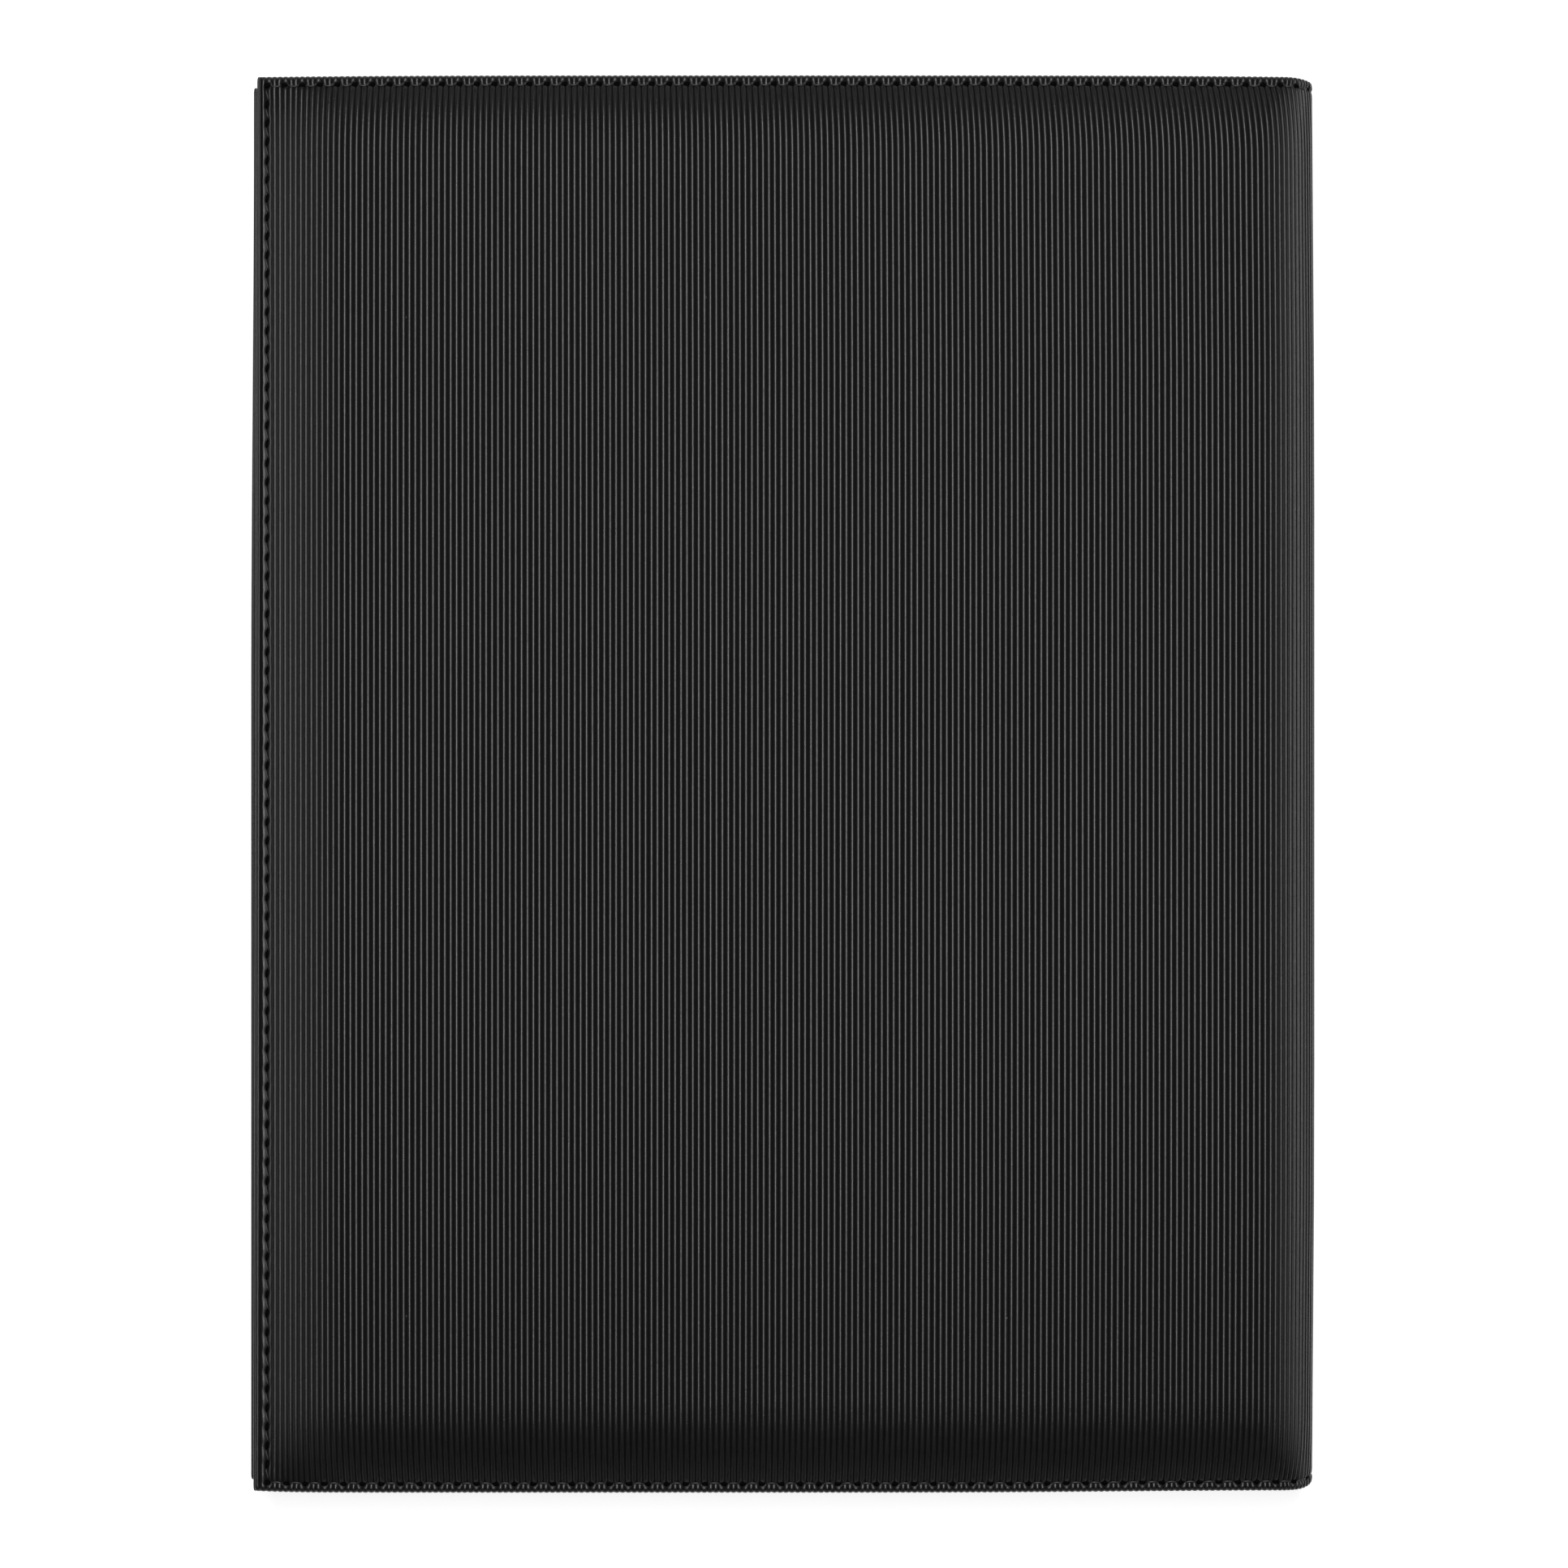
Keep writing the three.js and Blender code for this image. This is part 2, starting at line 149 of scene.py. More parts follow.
def grid_faces(rows, columns, flip=False, closed=False):
    faces = []
    for r in range(rows - 1):
        for c in range(columns if closed else columns - 1):
            a = r * columns + c
            b = r * columns + (c + 1) % columns
            quad = (a, b, b + columns, a + columns)
            faces.append(quad[::-1] if flip else quad)
    return faces


def shade(obj, angle):
    """Smooth shading that keeps the edges sharper than the angle."""
    bpy.context.view_layer.objects.active = obj
    obj.select_set(True)
    obj.data.set_sharp_from_angle(angle=math.radians(angle))
    obj.select_set(False)
    return obj


# The line of one half of the closed folder

def rise_curve(crown, count):
    """The padding's rise, as points measured from the seam."""
    t = np.linspace(0, 1, count)
    first, second, last = 3 * (1 - t) ** 2 * t, 3 * (1 - t) * t * t, t ** 3
    return np.c_[RUN * (first / 3 + second * 2 / 3 + last),
                 RISE * crown * (first / 2 + second + last)]


def arc(centre_x, centre_h, radius, start, stop, count):
    a = np.linspace(math.radians(start), math.radians(stop), count)
    return np.c_[centre_x + radius * np.cos(a), centre_h + radius * np.sin(a)]


@functools.lru_cache(maxsize=None)
def outer_line(edge_x, crown, pull):
    """Points (x, height above the middle plane) of the line and the length at each. The length starts below
    zero on the turned-in skin and is WALL where the wall of the edge ends."""
    r = EDGE_RADIUS
    top = SEAM_LEVEL + RISE * crown
    reach = SPINE_REACH_AT_ENDS + (SPINE_REACH - SPINE_REACH_AT_ENDS) * crown
    under = arc(edge_x + r, TURN_IN_LEVEL + r, r, -90, -180, 9)
    over = arc(edge_x + r, SEAM_LEVEL - r, r, 180, 90, 13)
    rise = rise_curve(crown, 60) + (edge_x + SEAM, SEAM_LEVEL)
    a = np.linspace(math.pi / 2, 0, 120)
    roll = np.c_[SPINE_BACK - pull - reach + reach * np.cos(a), top * np.sin(a)]
    points = np.concatenate([[(edge_x + TUCK, TURN_IN_LEVEL)], under, over, rise, roll])
    steps = np.linalg.norm(np.diff(points, axis=0), axis=1)
    points = points[np.r_[True, steps > 1e-6]]
    length = np.r_[0, np.cumsum(np.linalg.norm(np.diff(points, axis=0), axis=1))]
    wall_top = int(np.argmin(np.linalg.norm(points - over[0], axis=1)))
    return points, length - length[wall_top] + WALL


@functools.lru_cache(maxsize=None)
def run_length(crown):
    """The length of the padding's rise from the seam."""
    return float(np.linalg.norm(np.diff(rise_curve(crown, 40), axis=0), axis=1).sum())


def at_length(points, length, s):
    """The points at the lengths s, and the line's direction there."""
    x, h = (np.interp(s, length, points[:, i]) for i in (0, 1))
    tx, th = (np.interp(s + 0.05, length, points[:, i]) - np.interp(s - 0.05, length, points[:, i])
              for i in (0, 1))
    norm = np.hypot(tx, th)
    return x, h, tx / norm, th / norm


def crown_at(d):
    """How full the padding is at a distance from the sewn end: 0 at the seam, 1 in the middle. Most of it
    rises at once and the rest slowly."""
    at_once = 1 - (1 - np.clip((d - SEAM_FROM_END) / RUN_AT_ENDS, 0, 1)) ** 2
    slowly = smooth((d - SEAM_FROM_END) / SLOW_RUN)
    return float((1 - SLOW_SHARE) * at_once + SLOW_SHARE * slowly)


def pulled_in(d):
    """How much narrower the spine is near the sewn ends."""
    return float(SPINE_PULL_IN * (1 - smooth(d / SPINE_PULL_REACH)))


class Cover:
    """One cover, with its half of the spine's roll. Side is 1 for the upper cover, -1 for the lower."""

    def __init__(self, name, edge_x, side, ribs, stitches_top, stitches_bottom, stitches_edge):
        self.name = name
        self.edge_x = edge_x
        self.side = side
        self.ribs = ribs
        self.stitches = {1: stitches_top, -1: stitches_bottom}
        self.stitches_edge = stitches_edge
        self.end_length = outer_line(edge_x, 0, pulled_in(0))[1][-1]
        self.full_length = outer_line(edge_x, 1, 0)[1][-1]
        self.full_run = run_length(1)
        self.roll_share = (ribs - WRAP_RIBS) / ribs
        self.end_pitch = {end: (self.end_length - SEAM_FROM_EDGE) / count
                          for end, count in self.stitches.items()}
        self.edge_pitch = (HEIGHT - 2 * SEAM_FROM_END) / stitches_edge
        self.shares = {}

    def edge_shift(self, y):
        """The sewn edge isn't quite parallel to the ribs."""
        if self.side == 1:
            return 0.43 * y / END
        return 0.62 * smooth((y - 20) / 130)

    def end_shift(self, x, end):
        """The sewn ends draw in towards the corners, most of all at the spine."""
        corner = np.clip((x - 115) / 5.6, 0, 1)
        if end == 1:
            return 0.4 * np.clip(np.abs(x) / 118, 0, 1) ** 4 + 0.5 * corner ** 2
        left = 0.55 * np.exp(-(np.clip(x, -119, 0) + 119) / 6)
        return left * (x < 0) + 0.5 * smooth(x / 115) ** 2 + 1.2 * corner ** 3

    def edge_stitch(self, y):
        """Place within a stitch of the edge's seam, 0 at the needle holes."""
        return (y + END - SEAM_FROM_END) / self.edge_pitch

    def rib_lengths(self, u, total, run, end):
        """Where the shares u lie on a line this long. Shorter lines near the ends lose most at the edge's
        rise and in the spine's roll, so the ribs between run nearly straight."""
        lean = 0.5 if end == 1 else 0.18
        lost_at_edge = self.full_run - run
        lost_at_spine = self.full_length - total - lost_at_edge
        at_spine = lean * u + (1 - lean) * smooth((u - 0.92) / 0.08)
        return u * self.full_length - lost_at_edge * smooth(u / 0.09) - lost_at_spine * at_spine

    def share(self, s, d, end):
        """The share of the line that lies at the length s, at the distance d from an end."""
        key = (round(float(d), 6), end)
        if key not in self.shares:
            total = outer_line(self.edge_x, crown_at(d), pulled_in(d))[1][-1]
            tries = np.linspace(0, 1, 1500)
            lengths = self.rib_lengths(tries, total, run_length(crown_at(d)), end)
            self.shares[key] = (lengths, tries)
        return float(np.interp(s, *self.shares[key]))

    def in_roll(self, s, d, end):
        return self.share(s, d, end) > self.roll_share

    def seams(self, s, d, end):
        """What the two seams do to the skin: its shift along the line, how calm its ribs are, its height, and
        how deep it lies in a needle hole."""
        place = (s - SEAM_FROM_EDGE) / self.end_pitch[end]
        from_hole = (place - np.round(place)) * self.end_pitch[end]
        sewn = smooth((s - SEAM_FROM_EDGE + 0.6) / 0.6)
        groove = bell(d - SEAM_FROM_END, 0.42) * sewn
        holes = bell(d - SEAM_FROM_END, 0.45) * bell(from_hole, 0.62) * sewn
        swell = wavy(place) * bell(d - 1.25, 0.65) * sewn
        shift = 0.12 * np.sin(2 * math.pi * place) * bell(d - 1.55, 0.75) * sewn
        height = -GROOVE * groove - HOLE * holes + 0.04 * swell

        place = self.edge_stitch(end * (END - d))
        from_hole = (place - round(place)) * self.edge_pitch
        from_seam = s - SEAM_FROM_EDGE
        sewn = float(d > SEAM_FROM_END - 0.3)
        edge_groove = bell(from_seam, 0.46) * sewn
        edge_holes = bell(from_seam - HOLE_LEAN * from_hole, 0.46) * bell(from_hole, 0.85) * sewn
        swell = wavy(place) * (bell(from_seam + 0.95, 0.6) + 0.8 * bell(from_seam - 0.95, 0.55)) * sewn
        height = height - GROOVE * edge_groove - HOLE * edge_holes + 0.10 * swell
        calm = CALM * np.maximum(groove, edge_groove)
        # pit also lowers the shade value painted into the skin's colour, so the holes render dark.
        pit = np.clip(np.maximum(holes, edge_holes) * 1.6, 0, 1)
        return shift, calm, np.maximum(height, -HOLE), pit

    def row(self, u, end, d, phi=0.0, depth=0.0, ribbed=1.0, sewn=True):
        """Points on the skin for the shares u of the line, at the distance d from the end, 1 or -1, and the
        painted shade for the skin's colour: how high each lies on its rib, less over the rounded end and in a
        needle hole. phi goes from 0 to 90 degrees over the rounded end."""
        points, length = outer_line(self.edge_x, crown_at(d), pulled_in(d))
        total = length[-1]
        s = np.where(u < 0, u * self.end_length,
                     self.rib_lengths(u, total, run_length(crown_at(d)), end))
        shift, calm, height, pit = self.seams(s, d, end) if sewn else np.zeros((4, len(s)))
        k = u * self.ribs
        bump = 1 - np.abs(2 * (k - np.floor(k)) - 1) ** 2.4
        rib = RIB_DEPTH * (1 - bump) * ribbed * (1 - calm) * (1 - 0.4 * bell(d, 1.6))
        x, h, tx, th = at_length(points, length, s + shift)
        at_back = s >= total - 1e-6
        tx, th = np.where(at_back, 0, tx), np.where(at_back, -1, th)
        inset = depth + (rib - height) * math.cos(phi)
        rounding = EDGE_RADIUS * (1 - math.cos(phi))
        square = 1 - 0.75 * smooth((np.abs(th) - 0.2) / 0.7)
        y = END - d + 0.25 * math.exp(-d / 40)
        y = y - self.end_shift(x, end) * math.exp(-d / 28) - (rib - height) * math.sin(phi)
        flare = self.edge_shift(end * (END - d)) * (1 - smooth((x - self.edge_x) / 2.6))
        px = x + th * (inset + rounding * square) + flare
        ph = h - tx * (inset + rounding)
        # The second value is the painted shade for the skin's colour: the rib's height, less over the rounded
        # end (cos phi) and less again in a needle hole.
        return np.c_[px, end * y, MIDDLE + self.side * ph], bump * math.cos(phi) - 2 * pit

    def core_row(self, u, end):
        """The middle of the thickness of the sewn end, where the outer and inner skin meet."""
        row, bump = self.row(u, end, 0.0, phi=math.pi / 2, depth=CORE_DEPTH - EDGE_RADIUS, ribbed=0.3)
        near_edge = u * self.end_length < SEAM_FROM_EDGE - 0.6
        row[near_edge, 0] = np.maximum(row[near_edge, 0], self.edge_x + CORE_DEPTH)
        row[near_edge, 2] = MIDDLE + self.side * (SEAM_LEVEL - CORE_DEPTH)
        return row, bump

    def inner_row(self, u, end, d, depth):
        """The inner face of the sewn end, under the turned-in skin."""
        points, length = outer_line(self.edge_x, 0, pulled_in(0))
        x, h, tx, th = at_length(points, length, u * length[-1])
        y = END - d - self.end_shift(x, end)
        return np.c_[x + th * depth, end * y, MIDDLE + self.side * (h - tx * depth)]

    def point(self, s, d, end, depth):
        """A point at a depth under the smooth skin, for thread and needle holes."""
        u = np.array([self.share(s, d, end)])
        return self.row(u, end, d, depth=depth, ribbed=0, sewn=False)[0][0]


back = Cover("back_cover", -WIDTH / 2 + SETBACK, 1, 189, 61, 56, 74)
front = Cover("front_cover", -WIDTH / 2, -1, 191, 62, 57, 74)

SHARP_SKIN = 62  # degrees, so that the valleys between ribs stay crisp

# Angles of the rows over a sewn end, and the distances of the rows from it
END_ANGLES = [math.radians(a) for a in (90, 62, 32)]
INNER_ANGLES = [math.radians(a) for a in (90, 55, 0)]
COARSE = [1.2, 1.45, 1.7, 1.93, 2.15, 2.37, 2.6, 2.95, 3.5, 4.3, 5.3, 6.5, 8, 9.8, 12, 14.5, 17.5, 22, 30,
          44, 66, 96, 128]
INNER_START = TUCK + 3.4  # the line's length from which the inner face is made
ROWS_A_STITCH = 12

# Places of the columns within a rib, and lengths of those on the turned-in skin
WITHIN_HEM = (0, 0.07, 0.18, 0.32, 0.5, 0.68, 0.82, 0.93)
WITHIN_FINE = (0, 0.09, 0.23, 0.4, 0.6, 0.77, 0.91)
WITHIN_COARSE = (0, 0.14, 0.36, 0.64, 0.86)
TUCKED = -np.array([4.0, 3.0, 2.0, 1.3, 0.95, 0.7, 0.45, 0.22])


def inner_strip(cover, u, end, border, start, turned):
    """The skin from the border row in over a sewn end: its points and its faces."""
    rows = [cover.inner_row(u, end, EDGE_RADIUS * (1 - math.sin(a)), TURN_IN - EDGE_RADIUS * (1 - math.cos(a)))
            for a in INNER_ANGLES]
    rows.append(cover.inner_row(u, end, TUCK, TURN_IN))
    ids = [border] + [start + k * len(u) + np.arange(len(u)) for k in range(len(rows))]
    faces = []
    for near, far in zip(ids[:-1], ids[1:]):
        for c in range(len(u) - 1):
            quad = (near[c], far[c], far[c + 1], near[c + 1])
            faces.append(quad[::-1] if turned else quad)
    return rows, faces


def skin_mesh(cover, name, u, distances, with_inner):
    """The skin over the shares u, from one sewn end to the other, and in over the ends if with_inner."""
    rows = []
    for end in (-1, 1):
        stack = [cover.core_row(u, end)]
        stack += [cover.row(u, end, EDGE_RADIUS * (1 - math.sin(phi)), phi=phi) for phi in END_ANGLES]
        stack += [cover.row(u, end, d) for d in distances]
        rows += stack + [cover.row(u, end, END - 1e-6)] if end == -1 else stack[::-1]
    vertices = np.concatenate([points for points, bump in rows])
    # Each point's painted shade goes to the rib attribute. The inner face gets a middling 0.5.
    bump = np.concatenate([bump for points, bump in rows])
    faces = grid_faces(len(rows), len(u), flip=cover.side == -1)
    if with_inner:
        inside = np.nonzero(u * cover.end_length > INNER_START)[0]
        for end, base in ((-1, 0), (1, (len(rows) - 1) * len(u))):
            turned = (end == 1) != (cover.side == -1)
            strip, more = inner_strip(cover, u[inside], end, base + inside, len(vertices), turned)
            vertices = np.concatenate([vertices, *strip])
            bump = np.concatenate([bump, np.full(len(inside) * len(strip), 0.5)])
            faces += more
    return shade(new_object(name, vertices, faces, SKIN_MATERIAL, {"rib": bump}), SHARP_SKIN)


def rib_shares(cover, first, last, within):
    ks = [k + t for k in range(first, last) for t in within] + [last]
    return np.array(ks, float) / cover.ribs


# Materials

def add_node(tree, kind, inputs=(), **settings):
    """A new shader node. Its inputs are plain values or outputs of other nodes."""
    node = tree.nodes.new("ShaderNode" + kind)
    for key, value in settings.items():
        setattr(node, key, value)
    for socket, value in dict(inputs).items():
        put(tree, node.inputs[socket], value)
    return node


def put(tree, socket, value):
    if isinstance(value, bpy.types.NodeSocket):
        tree.links.new(value, socket)
    else:
        socket.default_value = value


class Look:
    """A material with a Principled shader, and short ways to add to it."""

    def __init__(self, name):
        self.material = bpy.data.materials.new(name)
        self.material.use_nodes = True
        self.tree = self.material.node_tree
        self.coords = self.add("TexCoord").outputs["Object"]

    def add(self, kind, inputs=(), **settings):
        return add_node(self.tree, kind, inputs, **settings)

    def noise(self, scale, detail=3.0, rough=0.55):
        inputs = {"Scale": scale, "Detail": detail, "Roughness": rough, "Vector": self.coords}
        return self.add("TexNoise", inputs).outputs["Fac"]

    def wave(self, direction, scale, distortion, detail):
        inputs = {"Scale": scale, "Distortion": distortion, "Detail": detail, "Vector": self.coords}
        return self.add("TexWave", inputs, bands_direction=direction).outputs["Fac"]

    def maths(self, operation, a, b=0.5):
        return self.add("Math", {0: a, 1: b}, operation=operation).outputs[0]

    def ramp(self, value, *stops):
        """Each stop is a position and a colour, or a position and a grey level."""
        node = self.add("ValToRGB", {"Fac": value})
        elements = node.color_ramp.elements
        while len(elements) < len(stops):
            elements.new(0.5)
        for element, (position, colour) in zip(elements, stops):
            element.position = position
            element.color = (*(colour if isinstance(colour, tuple) else (colour,) * 3), 1)
        return node.outputs["Color"]

    def mix(self, factor, a, b, blend="MIX"):
        b = (*b, 1) if isinstance(b, tuple) else b
        inputs = {"Factor": factor, "A": a, "B": b}
        return self.add("Mix", inputs, data_type="RGBA", blend_type=blend).outputs["Result"]

    def finish(self, colour, roughness, height, strength, distance, **more):
        """Link the shader up and give the material."""
        inputs = {"Height": height, "Strength": strength, "Distance": distance}
        normal = self.add("Bump", inputs).outputs["Normal"]
        shader = self.tree.nodes["Principled BSDF"]
        sockets = {"Base Color": colour, "Roughness": roughness, "Normal": normal}
        sockets.update((key.replace("_", " "), value) for key, value in more.items())
        for socket, value in sockets.items():
            put(self.tree, shader.inputs[socket], value)
        return self.material


def skin_material():
    """Black leatherette with painted shade: its colour is darkest in the rib valleys, over the rounded ends
    and in the needle holes. Matt valleys, shinier crests, and a few specks of lint.
    """
    look = Look("ribbed_skin")
    rib = look.add("Attribute", attribute_name="rib").outputs["Fac"]
    patches = look.noise(22, 4)
    grain = look.noise(2000, 4, 0.65)
    fibres = look.noise(420, 4, 0.65)
    # Painted shade: the base colour follows the rib attribute. It is dark in the valleys, over the rounded
    # ends and in the needle holes, and lightest on the crests.
    rib_shade_colour = look.ramp(rib, (0.0, 0.0015), (0.6, 0.003), (1.0, 0.008))
    tone = look.ramp(patches, (0.3, 0.86), (0.7, 1.12))
    leather = look.mix(1.0, rib_shade_colour, tone, "MULTIPLY")
    cells = look.add("TexVoronoi", {"Scale": 120, "Vector": look.coords})
    chance = look.add("SeparateColor", {0: cells.outputs["Color"]}).outputs["Red"]
    small = look.maths("LESS_THAN", cells.outputs["Distance"], 0.021)
    rare = look.maths("LESS_THAN", chance, 0.045)
    colour = look.mix(look.maths("MULTIPLY", small, rare), leather, (0.16, 0.16, 0.155))
    uneven = look.maths("MULTIPLY", fibres, 0.16)
    matt = look.ramp(rib, (0.0, 0.42), (0.86, 0.33), (1.0, 0.19))
    roughness = look.maths("ADD", uneven, matt)
    height = look.maths("ADD", grain, fibres)
    return look.finish(colour, roughness, height, 0.3, 0.00008, Specular_IOR_Level=0.62)


def thread_material():
    look = Look("sewing_thread")
    fibre = look.noise(5200, 3, 0.6)
    colour = look.ramp(fibre, (0.3, 0.012), (0.75, 0.045))
    roughness = look.ramp(fibre, (0.2, 0.35), (0.8, 0.5))
    return look.finish(colour, roughness, fibre, 0.5, 0.00005)


def hole_shade_material():
    """Painted shade for the inside of the needle holes: near black and matt, reflecting little."""
    look = Look("needle_holes")
    fuzz = look.noise(3000)
    colour = look.ramp(fuzz, (0.3, 0.0008), (0.8, 0.003))
    return look.finish(colour, 0.95, fuzz, 0.5, 0.0001, Specular_IOR_Level=0.08)


def lining_material():
    look = Look("lining_weave")
    weave = look.maths("MULTIPLY", *(look.wave(direction, 520, 0.6, 1) for direction in "XY"))
    both = look.maths("ADD", weave, look.maths("MULTIPLY", look.noise(140), 0.5))
    return look.finish(look.ramp(both, (0.2, 0.010), (1.0, 0.030)), 0.55, both, 0.5, 0.00012)


def pocket_material():
    """Grained leatherette."""
    look = Look("pocket_leatherette")
    inputs = {"Scale": 900, "Vector": look.coords}
    cells = look.add("TexVoronoi", inputs, feature="DISTANCE_TO_EDGE").outputs["Distance"]
    pebble = look.maths("MINIMUM", look.maths("MULTIPLY", cells, 3.5), 1.0)
    patches = look.noise(30, 4)
    mixed = look.maths("ADD", look.maths("MULTIPLY", pebble, 0.6), look.maths("MULTIPLY", patches, 0.5))
    colour = look.ramp(mixed, (0.1, 0.010), (1.0, 0.020))
    roughness = look.ramp(patches, (0.3, 0.36), (0.7, 0.50))
    return look.finish(colour, roughness, pebble, 0.6, 0.0001)


def elastic_material():
    look = Look("elastic")
    height = look.maths("ADD", look.wave("Y", 300, 0.8, 2.0), look.noise(1800))
    colour = look.ramp(height, (0.3, 0.008), (1.0, 0.028))
    return look.finish(colour, 0.7, height, 0.6, 0.0001, Sheen_Weight=0.2)


# The pad of paper: its sides, levels and rules
PAD_LEFT, PAD_RIGHT, PAD_END = -113.3, 102.6, 139.7
PAD_TOP_FACE, PAD_BOTTOM_FACE = 11.15, 13.55
RULE_PITCH = 7.1
RULES_FROM_TOP = 50.0
MARGIN_LINE = 32.0


def paper_material():
    """Ruled paper. The rules run across the sheet, and one line marks the margin."""
    look = Look("ruled_paper")
    split = look.add("SeparateXYZ", {0: look.coords}).outputs
    fibre = look.noise(900, 4)
    paper = look.ramp(fibre, (0.3, (0.80, 0.79, 0.75)), (0.7, (0.86, 0.85, 0.81)))
    down = look.maths("SUBTRACT", (PAD_END - RULES_FROM_TOP) * MM, split["Y"])
    place = look.maths("FRACT", look.maths("DIVIDE", down, RULE_PITCH * MM))
    line = look.maths("MULTIPLY", look.maths("LESS_THAN", place, 0.045),
                      look.maths("GREATER_THAN", down, 0.0))
    ruled = look.mix(line, paper, (0.28, 0.42, 0.62))
    from_margin = look.maths("SUBTRACT", split["X"], (PAD_RIGHT - MARGIN_LINE) * MM)
    margin = look.maths("LESS_THAN", look.maths("ABSOLUTE", from_margin), 0.00018)
    return look.finish(look.mix(margin, ruled, (0.72, 0.25, 0.25)), 0.8, fibre, 0.25, 0.00005)


def fibrous_material(name, dark, light, roughness):
    """Grey board, card or binding tape: short fibres and flecks."""
    look = Look(name)
    mixed = look.maths("ADD", look.maths("MULTIPLY", look.noise(700, 5, 0.7), 0.7),
                       look.maths("MULTIPLY", look.noise(160, 2), 0.3))
    return look.finish(look.ramp(mixed, (0.35, dark), (0.65, light)), roughness, mixed, 0.4, 0.00008)


SKIN_MATERIAL = skin_material()
HOLE_SHADE_MATERIAL = hole_shade_material()
THREAD_MATERIAL = thread_material()
LINING_MATERIAL = lining_material()
POCKET_MATERIAL = pocket_material()
ELASTIC_MATERIAL = elastic_material()
PAPER_MATERIAL = paper_material()
CARD_MATERIAL = fibrous_material("chipboard", (0.22, 0.19, 0.15), (0.36, 0.32, 0.26), 0.85)
BOARD_MATERIAL = fibrous_material("grey_board", (0.20, 0.20, 0.19), (0.33, 0.32, 0.30), 0.9)
TAPE_MATERIAL = fibrous_material("binding_tape", (0.012, 0.016, 0.03), (0.03, 0.038, 0.06), 0.6)


# The skins

def build_cover_skin(cover, within):
    """The gathered hem along the edge, the ribbed skin of the cover, and its half of the spine's roll."""
    wrap_start = cover.ribs - WRAP_RIBS
    hem_u = np.r_[TUCKED / cover.end_length, rib_shares(cover, 0, HEM_RIBS, WITHIN_HEM)]
    fine = [d for d in COARSE if d < 6.5]
    fine += list(np.arange(6.5, END - 0.2, cover.edge_pitch / ROWS_A_STITCH))
    hem = skin_mesh(cover, f"{cover.name}_hem", hem_u, fine, with_inner=False)
    main_u = rib_shares(cover, HEM_RIBS, wrap_start, within)
    main = skin_mesh(cover, f"{cover.name}_ribbed_skin", main_u, COARSE, with_inner=True)
    wrap_u = rib_shares(cover, wrap_start, cover.ribs, within)
    wrap = skin_mesh(cover, f"{cover.name}_spine_roll", wrap_u, COARSE, with_inner=True)
    return hem, main, wrap


def ride(pieces, body):
    for piece in pieces:
        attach(piece, body)


back_hem, back_main, back_wrap = build_cover_skin(back, WITHIN_FINE)
front_hem, front_main, front_wrap = build_cover_skin(front, WITHIN_COARSE)
ride((back_hem, back_main), "back_cover")
ride((front_hem, front_main), "front_cover")
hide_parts("back_cover_skin", "back_cover_padding")
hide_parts("front_cover_skin", "front_cover_padding")


# Sewing thread and needle holes

def capsule(path, radius, sides):
    """A round thread along a path of points, closed and rounded at both ends."""
    path = np.asarray(path, float)
    count = len(path)
    tangent = np.gradient(path, axis=0)
    tangent /= np.linalg.norm(tangent, axis=1)[:, None]
    side = np.cross(tangent, (0.0, 0.0, 1.0))
    side /= np.linalg.norm(side, axis=1)[:, None]
    normal = np.cross(side, tangent)
    angles = np.linspace(0, 2 * math.pi, sides, endpoint=False)
    cos, sin = np.cos(angles)[:, None], np.sin(angles)[:, None]
    width = radius * np.sqrt(np.clip(1 - np.abs(np.linspace(-1, 1, count)) ** 6, 0.02, 1))
    rings = [path[i] + width[i] * (cos * side[i] + sin * normal[i]) for i in range(count)]
    faces = grid_faces(count, sides, closed=True)
    faces.append(tuple(range(sides))[::-1])
    faces.append(tuple(range((count - 1) * sides, count * sides)))
    return np.concatenate(rings), faces


def lens(rim, top, bottom):
    """A closed oval: a rim with a point above and a point below."""
    count = len(rim)
    vertices = np.concatenate([rim, [top], [bottom]])
    faces = [(i, (i + 1) % count, count) for i in range(count)]
    faces += [((i + 1) % count, i, count + 1) for i in range(count)]
    return vertices, faces


def joined(name, parts, material):
    vertices, faces, offset = [], [], 0
    for v, f in parts:
        vertices.append(v)
        faces.extend(tuple(i + offset for i in face) for face in f)
        offset += len(v)
    return new_object(name, np.concatenate(vertices), faces, material)


def end_of(y):
    return 1 if y > 0 else -1


def stitches(cover):
    """The thread on the outside of one cover: that on the cover, and that on the spine's roll. Each stitch
    lies a little over the skin and dips into its holes."""
    rigid, wrapped = [], []
    t = np.linspace(0, 1, 9)
    from_middle = 2 * t - 1
    depth = THREAD_CENTRE + THREAD_DIP * np.abs(from_middle) ** 5
    for end in (-1, 1):
        bow = SEAM_FROM_END + 0.34 - 0.42 * from_middle ** 2
        for k in range(cover.stitches[end] - 1):
            s = SEAM_FROM_EDGE + cover.end_pitch[end] * (k + 0.13 + 0.74 * t)
            path = [cover.point(a, d, end, deep) for a, d, deep in zip(s, bow, depth)]
            in_roll = cover.in_roll(s[-1], bow[-1], end)
            (wrapped if in_roll else rigid).append(capsule(path, THREAD, 8))
    slant = SEAM_FROM_EDGE - 0.34 * from_middle
    for k in range(cover.stitches_edge):
        y = -END + SEAM_FROM_END + cover.edge_pitch * (k + 0.20 + 0.60 * t)
        path = [cover.point(a, END - abs(b), end_of(b), deep) for a, b, deep in zip(slant, y, depth)]
        rigid.append(capsule(path, THREAD, 8))
    return (joined(f"{cover.name}_thread", rigid, THREAD_MATERIAL),
            joined(f"{cover.name}_roll_thread", wrapped, THREAD_MATERIAL))


